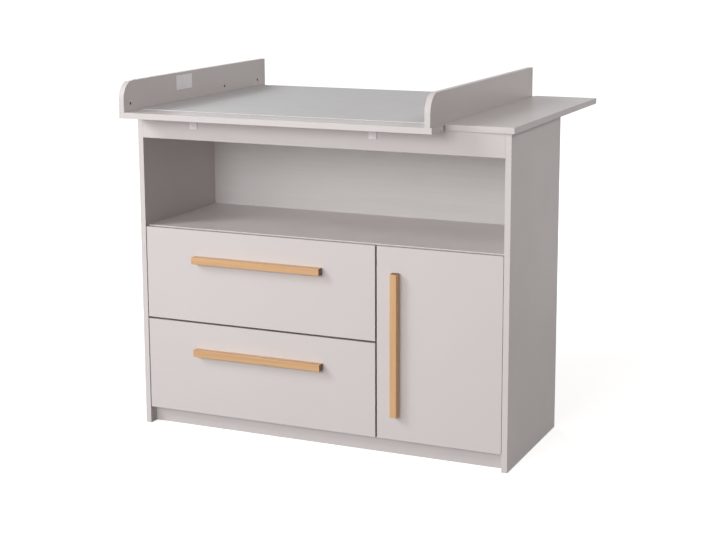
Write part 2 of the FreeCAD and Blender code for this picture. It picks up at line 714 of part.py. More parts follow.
# ------------------------------------------------------------- changing tray on the top
WALL = (("0", "0"), ("tray_depth", "0"), ("tray_depth", "wall_height"), ("0", "wall_height"))
WALL_HOLES = ("wall_hole_front", "wall_hole_middle", "wall_hole_rear")
WALL_SCREWS = ("wall_screw_end", "wall_screw_middle", "tray_depth - wall_screw_end")
base_holes, wall_screws = [], []
for label, low_x, face, inward in (
        ("left_tray_wall", "left_x", "left_x + board", "-x"),
        ("right_tray_wall", "right_wall_x", "right_wall_x", "+x")):
    wall = profile(label + "_board", "YZ_Plane", WALL, "board", (low_x, "tray_y", "tray_top"))
    round_edges(wall, "wall_round", lambda edge, frame:
                edge.YMax < frame.YMin + TOUCH and edge.ZMin > frame.ZMax - TOUCH)
    own_holes = [rod(f"{label}_hole_{i}", "wall_hole", "wall_hole_depth",
                     (face, f"tray_y + {station}", "tray_top + wall_hole_lift"), inward)
                 for i, station in enumerate(WALL_HOLES)]
    for i, station in enumerate(WALL_SCREWS):
        at = (f"{low_x} + board / 2", f"tray_y + {station}", "carcass_height + screw_head_height")
        name = f"{label}_screw_{i}"
        wall_screws.append(screw(name, at, "+z", "wall_screw_length", "wall_screw_head",
                                 "wall_screw"))
        shank_hole = peg(name + "_hole", "wall_screw", "wall_screw_length", at, "+z")
        own_holes.append(shank_hole)
        base_holes += [shank_hole, peg(name + "_seat", "wall_screw_head",
                                       "screw_head_height", at, "-z")]
    node(label, without(label + "_drilled", wall, own_holes))
node("tray_wall_screws", together("wall_screws", wall_screws))
node("tray_base", without("tray_base_cut", block("tray_board",
     ("tray_width", "tray_depth", "board"), ("left_x", "tray_y", "carcass_height")),
     base_holes))
node("tray_floor_panel", block("tray_panel",
     ("right_wall_x - left_x - board - 2 * tray_floor_gap",
      "tray_depth - tray_floor_setback - tray_floor_rear", "tray_floor"),
     ("left_x + board + tray_floor_gap", "tray_y + tray_floor_setback", "tray_top")))
node("side_board", block("side_board_blank",
     ("side_board_width", "side_board_depth", "board"),
     ("side_board_x", "front_y - side_board_front", "carcass_height")))

# ----------------------------------------------------------------------------- drawers
for level, front_z, front_height in (
        ("lower", "front_bottom", "lower_front_height"),
        ("upper", "upper_front_z", "upper_front_height")):
    owner = f"{level}_drawer"
    box_z = f"{LEVELS[level]} + box_lift"
    front_holes, back_holes = [], []
    side_holes = {"left": [], "right": []}
    floor_z = f"{box_z} + box_floor_lift"
    slot_height = "box_floor + fit"

    handle_z = f"{front_z} + {front_height} - handle_drop"
    fixings = [handle_screw(f"{level}_grip_screw_{i}",
                            (f"drawer_middle {side} (handle_length - handle_pad) / 2",
                             "fronts_back", handle_z))
               for i, side in enumerate("-+")]
    grip_holes = [hole for _, hole in fixings]
    node(f"{owner}_handle_screws", together(f"{level}_grip_screws",
                                            [piece for piece, _ in fixings]))
    front_holes += grip_holes
    grip = handle(f"{level}_grip", ("drawer_middle - handle_length / 2",
                                    "front_y - handle_depth", f"{handle_z} - handle_height / 2"))
    node(f"{owner}_handle", without(f"{level}_grip_drilled", grip, grip_holes))

    front_holes.append(block(f"{level}_front_slot",
                             ("box_width - 2 * box_side + 2 * box_groove", "box_groove",
                              slot_height),
                             ("box_x + box_side - box_groove", "fronts_back - box_groove",
                              floor_z)))
    back_holes.append(block(f"{level}_back_slot",
                            ("box_width - 2 * box_side", "box_groove", slot_height),
                            ("box_x + box_side", "box_rear - box_side", floor_z)))
    pegs = []
    for side, outer, slot_x, inward in (
            ("left", "box_x", "box_x + box_side - box_groove", "+x"),
            ("right", "box_right", "box_right - box_side", "-x")):
        side_holes[side].append(block(f"{level}_{side}_slot",
                                      ("box_groove", "box_depth", slot_height),
                                      (slot_x, "fronts_back", floor_z)))
        peg_x = f"{outer} {inward[0]} box_side / 2"
        for i, lift in enumerate(("peg_inset", "box_height - peg_inset")):
            root = (peg_x, "fronts_back", f"{box_z} + {lift}")
            name = f"{level}_{side}_peg_{i}"
            start = moved(root, "dowel_in_panel", "-y")
            pegs.append(peg(name, "peg_diameter", "dowel_length", start, "+y"))
            front_holes.append(peg(name + "_front_hole", "peg_diameter",
                                   "dowel_in_panel + dowel_spare", root, "-y"))
            side_holes[side].append(peg(name + "_side_hole", "peg_diameter",
                                        "dowel_length - dowel_in_panel + dowel_spare",
                                        root, "+y"))
            root = (outer, "box_rear - box_side / 2", f"{box_z} + {lift}")
            name = f"{level}_{side}_back_peg_{i}"
            pegs.append(peg(name, "peg_diameter", "back_peg_length", root, inward))
            back_peg_hole = peg(name + "_hole", "peg_diameter", "back_peg_length", root, inward)
            side_holes[side].append(back_peg_hole)
            back_holes.append(back_peg_hole)
    node(f"{owner}_pegs", together(f"{level}_pegs", pegs))

    node(f"{owner}_front", without(f"{level}_front_cut", block(f"{level}_front_board",
         ("drawer_front_width", "front_thickness", front_height),
         ("drawer_front_x", "front_y", front_z)), front_holes))
    for side, low_x in (("left", "box_x"), ("right", "box_right - box_side")):
        node(f"{owner}_{side}_side", without(f"{level}_{side}_side_cut",
             block(f"{level}_{side}_side_board", ("box_side", "box_depth", "box_height"),
                   (low_x, "fronts_back", box_z)), side_holes[side]))
        node(f"{owner}_{side}_runner", drawer_runner(level, side))
    node(f"{owner}_back", without(f"{level}_back_cut", block(f"{level}_back_board",
         ("box_width - 2 * box_side", "box_side", "box_height"),
         ("box_x + box_side", "box_rear - box_side", box_z)), back_holes))
    node(f"{owner}_bottom", block(f"{level}_box_floor",
         ("box_width - 2 * box_side + 2 * (box_groove - fit)",
          "box_depth - box_side + 2 * (box_groove - fit)", "box_floor"),
         ("box_x + box_side - box_groove + fit", "fronts_back - box_groove + fit", floor_z)))

# -------------------------------------------------------------------------------- door
door_grip_x = "door_x + door_handle_inset"
door_middle = "(front_bottom + front_top) / 2"
fixings = [handle_screw(f"door_grip_screw_{i}",
                        (door_grip_x, "fronts_back",
                         f"{door_middle} {side} (handle_length - handle_pad) / 2"))
           for i, side in enumerate("-+")]
grip_holes = [hole for _, hole in fixings]
node("door_handle_screws", together("door_grip_screws", [piece for piece, _ in fixings]))
door_grip = handle("door_grip", (f"{door_grip_x} - handle_height / 2", "front_y - handle_depth",
                                 f"{door_middle} + handle_length / 2"),
                   Rotation(Vector(0, 1, 0), 90))
node("door_handle", without("door_grip_drilled", door_grip, grip_holes))
node("door_panel", without("door_cut", block("door_board",
     ("door_width", "front_thickness", "door_height"),
     ("door_x", "front_y", "front_bottom")), door_holes + grip_holes))


# ------------------------------------------------------------------ checks and export
doc.recompute()
for item in doc.Objects:
    if {"Invalid", "Error"} & set(item.State):
        raise RuntimeError(f"{item.Name} ({item.Label}) did not build: {item.State}")
for item in nodes:
    if item.Shape.isNull() or not item.Shape.isValid():
        raise RuntimeError(f"{item.Label} has no valid shape")
for item in nodes:
    item.Shape.exportStep(f"parts/{item.Label}.step")
print(len(nodes), "sub-parts written")
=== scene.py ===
# %% [markdown]
# # A changing dresser
# The dresser is a carcass of laminated boards with an open compartment, two drawers and
# a door, all with wooden bar handles. On top lie a changing tray with two side walls and
# a narrow side board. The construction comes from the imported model, in metres, with the
# floor at zero and the fronts facing -Y. This lesson gives it its finish: softened edges,
# foil, edge bands, wood, steel and the small screws.

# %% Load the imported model
import bmesh
import bpy
import json
import math
from mathutils import Matrix, Vector


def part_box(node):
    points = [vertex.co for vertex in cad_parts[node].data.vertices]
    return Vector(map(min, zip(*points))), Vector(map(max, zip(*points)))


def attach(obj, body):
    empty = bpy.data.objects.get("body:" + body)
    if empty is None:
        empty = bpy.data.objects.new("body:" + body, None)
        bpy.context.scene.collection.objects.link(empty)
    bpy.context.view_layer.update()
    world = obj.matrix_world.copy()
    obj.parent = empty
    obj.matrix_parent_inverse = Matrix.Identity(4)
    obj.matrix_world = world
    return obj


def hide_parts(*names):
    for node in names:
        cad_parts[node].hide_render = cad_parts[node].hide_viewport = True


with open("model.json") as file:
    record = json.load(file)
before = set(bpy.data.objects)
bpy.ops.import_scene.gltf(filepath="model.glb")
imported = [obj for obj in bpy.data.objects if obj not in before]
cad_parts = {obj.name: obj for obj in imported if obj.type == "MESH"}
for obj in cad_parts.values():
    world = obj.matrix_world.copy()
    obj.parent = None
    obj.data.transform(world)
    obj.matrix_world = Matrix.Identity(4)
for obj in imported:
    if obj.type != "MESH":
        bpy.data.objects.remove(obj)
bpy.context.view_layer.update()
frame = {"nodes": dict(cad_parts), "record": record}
scene = bpy.context.scene
scene.view_settings.view_transform = "Standard"
MM = 0.001
body_of = {node: body for body, members in frame["record"]["behaviour"]["bodies"].items()
           for node in members}
slot_of = {part["node"]: part["material_slot"] for part in frame["record"]["subparts"]}

# %% [markdown]
# ## The camera
# A product photographer keeps the camera level and slides the lens far down, so that
# upright edges stay parallel. That is the other way, but with such a lens any walk round
# the dresser would find it outside the frame. So the camera here leans down towards the
# dresser and the lens slides only a little. The uprights then draw together towards the
# floor, the outermost ones by one to two degrees. The camera's place was worked out from
# edges of known length, seen in perspective.

# %% Set up the camera
IMAGE_WIDTH = 716
FOCAL_PIXELS = 1540.0           # focal length in units of one pixel
LENS_DROP = 50                  # how far the lens slides down, in pixels
CAMERA_PLACE = Vector((1.7228, -3.9227, 1.3661))
CAMERA_TURN = math.radians(24.040)
CAMERA_LEAN = math.radians(10.545)
CAMERA_ROLL = math.radians(-0.216)
SENSOR_WIDTH = 36.0

camera_data = bpy.data.cameras.new("studio_camera")
camera_data.sensor_width = SENSOR_WIDTH
camera_data.lens = FOCAL_PIXELS * SENSOR_WIDTH / IMAGE_WIDTH
camera_data.shift_y = -LENS_DROP / IMAGE_WIDTH
camera = bpy.data.objects.new("studio_camera", camera_data)
camera.matrix_world = (Matrix.Translation(CAMERA_PLACE)
                       @ Matrix.Rotation(CAMERA_TURN, 4, "Z")
                       @ Matrix.Rotation(math.pi / 2 - CAMERA_LEAN, 4, "X")
                       @ Matrix.Rotation(CAMERA_ROLL, 4, "Z"))
scene.collection.objects.link(camera)
scene.camera = camera
print("lens", round(camera_data.lens, 2), "mm, shift", round(camera_data.shift_y, 4))

# %% [markdown]
# ## Light
# Five soft lamps light the dresser. One stands to the left and higher, and draws the
# shadows of the handles and of the tray. Two wide ones stand in front, low enough to
# shine into the open compartment. A cool one behind on the left and a warm one high on
# the right give the top and the side panel their tones. A dim room fills what is left,
# so that the gaps between the fronts stay dark. One bright room alone would be simpler,
# but it is flat and turns those gaps grey.

# %% Make the lamps
LAMP_TARGET = Vector((0.0, -0.32, 0.55))
LAMP_DISTANCE = 6.0
NEUTRAL = (1.0, 1.0, 1.0)
WARM = (1.0, 0.955, 0.94)
COOL = (0.93, 0.97, 1.0)
# each lamp: heading from its target, width in metres, power in watts, colour
LAMPS = {"side_lamp": (Vector((-1.25, -1.0, 1.05)), 2.2, 124, NEUTRAL),
         "front_lamp": (Vector((-0.1, -1.0, 0.25)), 3.0, 182, NEUTRAL),
         "low_left_lamp": (Vector((-0.7, -1.0, 0.35)), 3.0, 56, NEUTRAL),
         "rear_lamp": (Vector((-1.0, 1.0, 0.55)), 2.0, 64, COOL),
         "right_lamp": (Vector((1.0, 0.2, 1.0)), 2.5, 80, WARM)}

for name, (heading, width, power, colour) in LAMPS.items():
    lamp_data = bpy.data.lights.new(name, "AREA")
    lamp_data.color = colour
    lamp_data.shape = "DISK"
    lamp_data.size = width
    lamp_data.energy = power
    lamp = bpy.data.objects.new(name, lamp_data)
    lamp.matrix_world = (Matrix.Translation(LAMP_TARGET + heading.normalized() * LAMP_DISTANCE)
                         @ heading.to_track_quat("Z", "Y").to_matrix().to_4x4())
    scene.collection.objects.link(lamp)
print("lamps:", ", ".join(LAMPS))

# %% Helpers that join shading nodes


def wire(tree, *pairs):
    """Join sockets: each pair leads from an output to an input."""
    for source, target in pairs:
        tree.links.new(source, target)


def seen_directly(tree):
    """One for rays that show the background: straight, mirrored or through glass."""
    path = tree.nodes.new("ShaderNodeLightPath")
    first = tree.nodes.new("ShaderNodeMath")
    first.operation = "MAXIMUM"
    both = tree.nodes.new("ShaderNodeMath")
    both.operation = "MAXIMUM"
    wire(tree, (path.outputs["Is Camera Ray"], first.inputs[0]),
         (path.outputs["Is Glossy Ray"], first.inputs[1]),
         (first.outputs[0], both.inputs[0]),
         (path.outputs["Is Transmission Ray"], both.inputs[1]))
    return both.outputs[0]


print("node helpers ready")

# %% Make the pale room
ROOM_LEVEL = 0.20

room = bpy.data.worlds.new("pale_room")
scene.world = room
room.use_nodes = True
sky = room.node_tree
sky.nodes.clear()
fill = sky.nodes.new("ShaderNodeBackground")
fill.inputs["Color"].default_value = (*WARM, 1)
fill.inputs["Strength"].default_value = ROOM_LEVEL
white = sky.nodes.new("ShaderNodeBackground")
white.inputs["Strength"].default_value = 1.0
choose = sky.nodes.new("ShaderNodeMixShader")
sky_out = sky.nodes.new("ShaderNodeOutputWorld")
wire(sky, (seen_directly(sky), choose.inputs[0]), (fill.outputs[0], choose.inputs[1]),
     (white.outputs[0], choose.inputs[2]), (choose.outputs[0], sky_out.inputs[0]))
print("room lights the dresser at", ROOM_LEVEL)

# %% [markdown]
# ## The floor
# The dresser was shown on plain white. A pale matt floor keeps its soft shadow, and some
# light of its own brings the rest of it up to white. The camera and mirroring surfaces
# see that light, but it doesn't fall on the dresser. It is weaker round the dresser,
# where the lamps fall and the shadow lies, and rises towards the dim distance. What the
# floor throws back on the boards is less, as from a grey studio floor. A floor that is
# only painted white would be simpler, but away from the lamps it would turn grey.

# %% Make the floor's finish
FLOOR_REACH = 40.0
FLOOR_ROUGHNESS = 0.9
FLOOR_MIRROR = 0.1
GLOW_NEAR = 0.62
GLOW_FAR = 0.90
GLOW_RISES_FROM = 1.0           # metres from the middle of the dresser
GLOW_RISES_TO = 3.5
FLOOR_SEEN = (0.86, 0.86, 0.86)
FLOOR_THROWN = (0.30, 0.28, 0.27)

floor_material = bpy.data.materials.new("pale_floor")
floor_material.use_nodes = True
ground = floor_material.node_tree
ground_shader = ground.nodes["Principled BSDF"]
ground_shader.inputs["Base Color"].default_value = (*FLOOR_SEEN, 1)
ground_shader.inputs["Roughness"].default_value = FLOOR_ROUGHNESS
ground_shader.inputs["Specular IOR Level"].default_value = FLOOR_MIRROR
thrown = ground.nodes.new("ShaderNodeBsdfDiffuse")
thrown.inputs["Color"].default_value = (*FLOOR_THROWN, 1)
glow = ground.nodes.new("ShaderNodeEmission")
floor_place = ground.nodes.new("ShaderNodeTexCoord")
distance = ground.nodes.new("ShaderNodeVectorMath")
distance.operation = "LENGTH"
rise = ground.nodes.new("ShaderNodeMapRange")
for socket, value in (("From Min", GLOW_RISES_FROM), ("From Max", GLOW_RISES_TO),
                      ("To Min", GLOW_NEAR), ("To Max", GLOW_FAR)):
    rise.inputs[socket].default_value = value
wire(ground, (floor_place.outputs["Object"], distance.inputs[0]),
     (distance.outputs["Value"], rise.inputs["Value"]),
     (rise.outputs["Result"], glow.inputs["Strength"]))
lifted = ground.nodes.new("ShaderNodeAddShader")
pick = ground.nodes.new("ShaderNodeMixShader")
wire(ground, (ground_shader.outputs[0], lifted.inputs[0]), (glow.outputs[0], lifted.inputs[1]),
     (seen_directly(ground), pick.inputs[0]), (thrown.outputs[0], pick.inputs[1]),
     (lifted.outputs[0], pick.inputs[2]),
     (pick.outputs[0], ground.nodes["Material Output"].inputs["Surface"]))
print("floor glows from", GLOW_NEAR, "to", GLOW_FAR)

# %% Lay the floor
sheet = bmesh.new()
bmesh.ops.create_grid(sheet, x_segments=1, y_segments=1, size=FLOOR_REACH)
floor_mesh = bpy.data.meshes.new("studio_floor")
sheet.to_mesh(floor_mesh)
sheet.free()
floor_mesh.materials.append(floor_material)
floor = bpy.data.objects.new("studio_floor", floor_mesh)
scene.collection.objects.link(floor)
print("floor laid,", 2 * FLOOR_REACH, "m wide")

# %% [markdown]
# ## Building finishes
# Every finish here is worked out from a point's place on the piece, so it stays put when
# a drawer or the door moves. Photographs of surfaces would be the other way, but noise
# at the right scale is enough for foil, wood, steel and nylon. These helpers make the
# few shading nodes that all finishes share.

# %% Helpers for finishes


def new_finish(name, roughness=0.5, metallic=0.0):
    """A material with its tree, its shader and the place of a point on the piece."""
    material = bpy.data.materials.new(name)
    material.use_nodes = True
    tree = material.node_tree
    shader = tree.nodes["Principled BSDF"]
    shader.inputs["Roughness"].default_value = roughness
    shader.inputs["Metallic"].default_value = metallic
    place = tree.nodes.new("ShaderNodeTexCoord").outputs["Object"]
    return material, tree, shader, place


def stretched(tree, place, scale):
    """The same places with their axes stretched, for patterns that run one way."""
    mapping = tree.nodes.new("ShaderNodeMapping")
    mapping.inputs["Scale"].default_value = scale
    wire(tree, (place, mapping.inputs["Vector"]))
    return mapping.outputs["Vector"]


def noise(tree, place, scale, detail=3.0, distortion=0.0):
    """Soft cloudy noise from 0 to 1; the scale counts its clouds per metre."""
    cloud = tree.nodes.new("ShaderNodeTexNoise")
    cloud.inputs["Scale"].default_value = scale
    cloud.inputs["Detail"].default_value = detail
    cloud.inputs["Distortion"].default_value = distortion
    wire(tree, (place, cloud.inputs["Vector"]))
    return cloud.outputs["Fac"]


def spread(tree, value, low, high, start=0.3, end=0.7):
    """Turn a noise value into another range."""
    ramp = tree.nodes.new("ShaderNodeMapRange")
    ramp.inputs["From Min"].default_value = start
    ramp.inputs["From Max"].default_value = end
    ramp.inputs["To Min"].default_value = low
    ramp.inputs["To Max"].default_value = high
    wire(tree, (value, ramp.inputs["Value"]))
    return ramp.outputs["Result"]


def blend_colours(tree, share, first, second):
    """Mix two colours; each is a colour of its own or comes from another node."""
    mix = tree.nodes.new("ShaderNodeMix")
    mix.data_type = "RGBA"
    wire(tree, (share, mix.inputs["Factor"]))
    for socket, colour in ((mix.inputs["A"], first), (mix.inputs["B"], second)):
        if isinstance(colour, tuple):
            socket.default_value = (*colour, 1.0)
        else:
            wire(tree, (colour, socket))
    return mix.outputs["Result"]


def relief(tree, shader, height, depth, strength=1.0):
    """Let a value raise and lower the surface by a depth in metres."""
    bump = tree.nodes.new("ShaderNodeBump")
    bump.inputs["Distance"].default_value = depth
    bump.inputs["Strength"].default_value = strength
    wire(tree, (height, bump.inputs["Height"]), (bump.outputs["Normal"], shader.inputs["Normal"]))


def shade(colour, factor):
    """A lighter or darker version of a colour."""
    return tuple(min(channel * factor, 1.0) for channel in colour)


print("finish helpers ready")

# %% [markdown]
# ## Foil, edge bands and raw board
# The boards are particle board covered with a satin foil in a warm light grey. The foil
# has a very fine grained skin and hardly visible clouds. Narrow bands of the same colour
# close the edges. On the drawer fronts and the door the bands are darker: painted shade,
# so that the narrow gaps between the fronts look dark. The shelves have a lighter foil:
# painted light, so that the shelves and the floor of the open compartment look more
# brightly lit. Where a hole or a groove is cut, the brown chips show. One plain colour
# would be the simple way, but its sheen would be too even for pressed foil.

# %% Make the board finishes
FOIL_COLOUR = (0.675, 0.635, 0.628)
BAND_COLOUR = (0.690, 0.652, 0.646)
CHIP_LIGHT = (0.42, 0.30, 0.18)
CHIP_DARK = (0.16, 0.10, 0.055)
# painted light: the shelves get a lighter copy of the grey foil, so that they and the floor of
# the open compartment look more brightly lit
SHELF_PAINTED_LIGHT_COLOUR = (0.735, 0.691, 0.684)
# painted shade: the bands of the drawer fronts and the door are darker than the other bands, so
# that the gaps between the fronts look shaded
GAP_SHADE_BAND_COLOUR = shade(BAND_COLOUR, 0.72)
FOIL_ROUGHNESS = 0.34
FOIL_MIRROR = 0.15              # how strongly it mirrors; glossy plastic has 0.5
FOIL_SKIN = 0.012 * MM          # depth of the grained skin
BAND_SKIN = 0.008 * MM
CLOUDS_PER_METRE = 5.0
CLOUD_CHANGE = 0.01             # a cloud's tone, up and down
GRAINS_PER_METRE = 2600.0
GRAIN_SHADE = 0.96
GRAIN_STRENGTH = 0.3            # how much the grain shows, in its tone and its relief
GLOSS_PATCHES = 12.0            # per metre
GLOSS_CHANGE = 0.03
CHIPS_PER_METRE = 900.0
CHIP_STRETCH = (0.5, 0.5, 1.0)
CHIP_ROUGHNESS = 0.9
CHIP_DEPTH = 0.3 * MM


def foil_finish(name, colour, skin_depth):
    """A satin skin: faint clouds, a very fine grain and a slightly uneven gloss."""
    material, tree, shader, place = new_finish(name)
    shader.inputs["Specular IOR Level"].default_value = FOIL_MIRROR
    clouds = spread(tree, noise(tree, place, CLOUDS_PER_METRE, detail=4.0), 0.0, 1.0)
    grain = noise(tree, place, GRAINS_PER_METRE, detail=2.0)
    cloud_tone = blend_colours(tree, clouds, shade(colour, 1 - CLOUD_CHANGE),
                               shade(colour, 1 + CLOUD_CHANGE))
    tone = blend_colours(tree, spread(tree, grain, 0.0, GRAIN_STRENGTH), cloud_tone,
                         shade(colour, GRAIN_SHADE))
    gloss = spread(tree, noise(tree, place, GLOSS_PATCHES, detail=2.0),
                   FOIL_ROUGHNESS - GLOSS_CHANGE, FOIL_ROUGHNESS + GLOSS_CHANGE)
    wire(tree, (tone, shader.inputs["Base Color"]), (gloss, shader.inputs["Roughness"]))
    relief(tree, shader, grain, skin_depth, GRAIN_STRENGTH)
    return material


def chip_finish():
    """The raw particle board inside holes and grooves: pressed chips in several browns."""
    material, tree, shader, place = new_finish("raw_particle_board", CHIP_ROUGHNESS)
    chips = tree.nodes.new("ShaderNodeTexVoronoi")
    chips.inputs["Scale"].default_value = CHIPS_PER_METRE
    wire(tree, (stretched(tree, place, CHIP_STRETCH), chips.inputs["Vector"]))
    tone = blend_colours(tree, chips.outputs["Distance"], CHIP_LIGHT, CHIP_DARK)
    wire(tree, (tone, shader.inputs["Base Color"]))
    relief(tree, shader, chips.outputs["Distance"], CHIP_DEPTH)
    return material


foil = foil_finish("grey_foil", FOIL_COLOUR, FOIL_SKIN)
edge_band = foil_finish("edge_band", BAND_COLOUR, BAND_SKIN)
# this foil carries painted light on the shelves
shelf_painted_light_foil = foil_finish("shelf_painted_light_foil", SHELF_PAINTED_LIGHT_COLOUR, FOIL_SKIN)
# this band carries the painted shade of the gaps between the fronts
gap_shade_band = foil_finish("gap_shade_band", GAP_SHADE_BAND_COLOUR, BAND_SKIN)
raw_board = chip_finish()
print("board finishes:", foil.name, shelf_painted_light_foil.name, edge_band.name, gap_shade_band.name)

# %% [markdown]
# ## Thin panels
# The back panel, the drawer bottoms and the loose sheet on the tray are hardboard with
# a matt lacquer on one side. Its other side is bare brown fibre with the print of the
# wire mesh on which it was pressed. That print could be modelled, but it is only a
# quarter of a millimetre deep, so it is a relief in the finish.

# %% Make the hardboard finishes
LACQUER_COLOUR = (0.640, 0.615, 0.608)
SHEET_COLOUR = (0.560, 0.556, 0.556)
FIBRE_COLOUR = (0.235, 0.135, 0.070)
LACQUER_GLOSS = (0.50, 0.62)
ROLLER_STREAKS = (4.0, 90.0, 90.0)
STREAK_SHADES = (0.98, 1.015)
GLOSS_CLOUDS = 25.0             # per metre
PITS_PER_METRE = 700.0
PIT_DEPTH = 0.06 * MM
FIBRES_PER_METRE = 350.0
FIBRE_SHADES = (0.75, 1.35)
FIBRE_ROUGHNESS = 0.85
MESH_PITCH = 1.4 * MM
MESH_DEPTH = 0.25 * MM
BANDS_AT_SCALE_ONE = 3.18       # a wave texture's bands per metre


def lacquer_finish(name, colour):
    """A matt lacquered face with faint roller streaks."""
    material, tree, shader, place = new_finish(name)
    streaks = noise(tree, stretched(tree, place, ROLLER_STREAKS), 1.0)
    darker, lighter = (shade(colour, factor) for factor in STREAK_SHADES)
    tone = blend_colours(tree, spread(tree, streaks, 0.0, 1.0), darker, lighter)
    gloss = spread(tree, noise(tree, place, GLOSS_CLOUDS), *LACQUER_GLOSS)
    wire(tree, (tone, shader.inputs["Base Color"]), (gloss, shader.inputs["Roughness"]))
    pits = noise(tree, place, PITS_PER_METRE, detail=2.0)
    relief(tree, shader, pits, PIT_DEPTH, strength=0.4)
    return material


def fibre_finish():
    """Brown pressed fibre with the woven print of the press."""
    material, tree, shader, place = new_finish("bare_fibre", FIBRE_ROUGHNESS)
    fibres = noise(tree, place, FIBRES_PER_METRE, detail=6.0, distortion=1.5)
    darker, lighter = (shade(FIBRE_COLOUR, factor) for factor in FIBRE_SHADES)
    tone = blend_colours(tree, fibres, darker, lighter)
    wires = []
    for axis in ("X", "Z"):
        wave = tree.nodes.new("ShaderNodeTexWave")
        wave.bands_direction = axis
        wave.inputs["Scale"].default_value = 1 / (MESH_PITCH * BANDS_AT_SCALE_ONE)
        wire(tree, (place, wave.inputs["Vector"]))
        wires.append(wave.outputs["Fac"])
    weave = tree.nodes.new("ShaderNodeMath")
    weave.operation = "MULTIPLY"
    wire(tree, (wires[0], weave.inputs[0]), (wires[1], weave.inputs[1]),
         (tone, shader.inputs["Base Color"]))
    relief(tree, shader, weave.outputs[0], MESH_DEPTH, strength=0.6)
    return material


lacquer = lacquer_finish("pale_lacquer", LACQUER_COLOUR)
tray_sheet = lacquer_finish("tray_sheet_lacquer", SHEET_COLOUR)
bare_fibre = fibre_finish()
print("hardboard finishes:", lacquer.name, tray_sheet.name, bare_fibre.name)

# %% [markdown]
# ## Wood
# The handles are light, oiled hardwood, cut along the grain. Long streaks and fine short
# pores follow the bar, and the sawn ends show the rings from the end, darker than the
# sides. One pattern for the whole bar could give both, as a real tree does, but two
# finishes are easier to steer. The same recipe is turned for the door's upright handle.

# %% Make the wood finishes
WOOD_LIGHT = (0.725, 0.437, 0.218)
WOOD_DARK = (0.520, 0.275, 0.118)
END_LIGHT = (0.280, 0.165, 0.085)
END_DARK = (0.130, 0.070, 0.034)
STREAK_SHADE = 0.80
ALONG = 3.0                     # streaks per metre along the grain
ACROSS = 210.0                  # streaks per metre across it
BAND_ALONG = ALONG / 2          # broad bands are wider and longer than streaks
BAND_ACROSS = ACROSS / 5
PORE_ALONG = ALONG * 40         # pores are finer and shorter
PORE_ACROSS = ACROSS * 9
BAND_SHARE = 0.55               # how far a broad band darkens
BAND_RANGE = (0.35, 0.75)       # noise values between which a band grows darker
PORE_SHARE = 0.6                # how far a pore darkens
PORE_RANGE = (0.58, 0.78)
PORE_DEPTH = 0.12 * MM
WOOD_GLOSS = (0.28, 0.42)
END_ROUGHNESS = 0.62
RING_CENTRE = (0.11, 0.36, 0.07)
RING_SCALE = 130.0
RING_WOBBLE = 1.2
RING_DETAIL = 3.0
SAW_MARKS = 2500.0              # per metre
SAW_DEPTH = 0.15 * MM
ALONG_X, ALONG_Z = 0, 2


def along_grain(tree, place, axis, across, along):
    """Places stretched so that a pattern is fine across one axis and long along it."""
    scale = [across] * 3
    scale[axis] = along
    return stretched(tree, place, scale)


def grain_finish(name, axis):
    """Straight-grained wood whose fibres run along one axis."""
    material, tree, shader, place = new_finish(name)
    streaks = noise(tree, along_grain(tree, place, axis, ACROSS, ALONG), 1.0, detail=5.0,
                    distortion=0.6)
    bands = noise(tree, along_grain(tree, place, axis, BAND_ACROSS, BAND_ALONG), 1.0,
                  distortion=1.0)
    pores = noise(tree, along_grain(tree, place, axis, PORE_ACROSS, PORE_ALONG), 1.0,
                  detail=2.0)
    body_tone = blend_colours(tree, spread(tree, streaks, 0.0, 1.0), WOOD_LIGHT,
                              shade(WOOD_LIGHT, STREAK_SHADE))
    banded = blend_colours(tree, spread(tree, bands, 0.0, BAND_SHARE, *BAND_RANGE), body_tone,
                           WOOD_DARK)
    tone = blend_colours(tree, spread(tree, pores, 0.0, PORE_SHARE, *PORE_RANGE), banded,
                         WOOD_DARK)
    gloss = spread(tree, streaks, *WOOD_GLOSS)
    wire(tree, (tone, shader.inputs["Base Color"]), (gloss, shader.inputs["Roughness"]))
    relief(tree, shader, pores, PORE_DEPTH, strength=0.5)
    return material


def end_grain_finish(name, axis):
    """The sawn end of the bar: growth rings that cross it as gentle arcs."""
    material, tree, shader, place = new_finish(name, END_ROUGHNESS)
    shifted = tree.nodes.new("ShaderNodeMapping")
    shifted.inputs["Location"].default_value = RING_CENTRE
    wire(tree, (place, shifted.inputs["Vector"]))
    rings = tree.nodes.new("ShaderNodeTexWave")
    rings.wave_type = "RINGS"
    rings.rings_direction = "XYZ"[axis]
    rings.inputs["Scale"].default_value = RING_SCALE
    rings.inputs["Distortion"].default_value = RING_WOBBLE
    rings.inputs["Detail"].default_value = RING_DETAIL
    wire(tree, (shifted.outputs[0], rings.inputs["Vector"]))
    tone = blend_colours(tree, rings.outputs["Fac"], END_LIGHT, END_DARK)
    wire(tree, (tone, shader.inputs["Base Color"]))
    marks = noise(tree, place, SAW_MARKS, detail=2.0)
    relief(tree, shader, marks, SAW_DEPTH, strength=0.6)
    return material


lying_wood = grain_finish("handle_wood_lying", ALONG_X)
upright_wood = grain_finish("handle_wood_upright", ALONG_Z)
lying_end = end_grain_finish("handle_end_lying", ALONG_X)
upright_end = end_grain_finish("handle_end_upright", ALONG_Z)
beech = grain_finish("dowel_beech", ALONG_X)
print("wood finishes made along X and Z")

# %% [markdown]
# ## Steel, zinc and nylon
# Hinges and screws are plated steel, the cams are cast zinc, and runners and corner
# brackets are steel with a pale powder coat. The wheels are milky nylon. Plating shows
# rolling lines, cast zinc a fine grain, and powder coat a slight orange peel. Without
# them the plain shader would do, but every fitting would look like chrome or plastic.

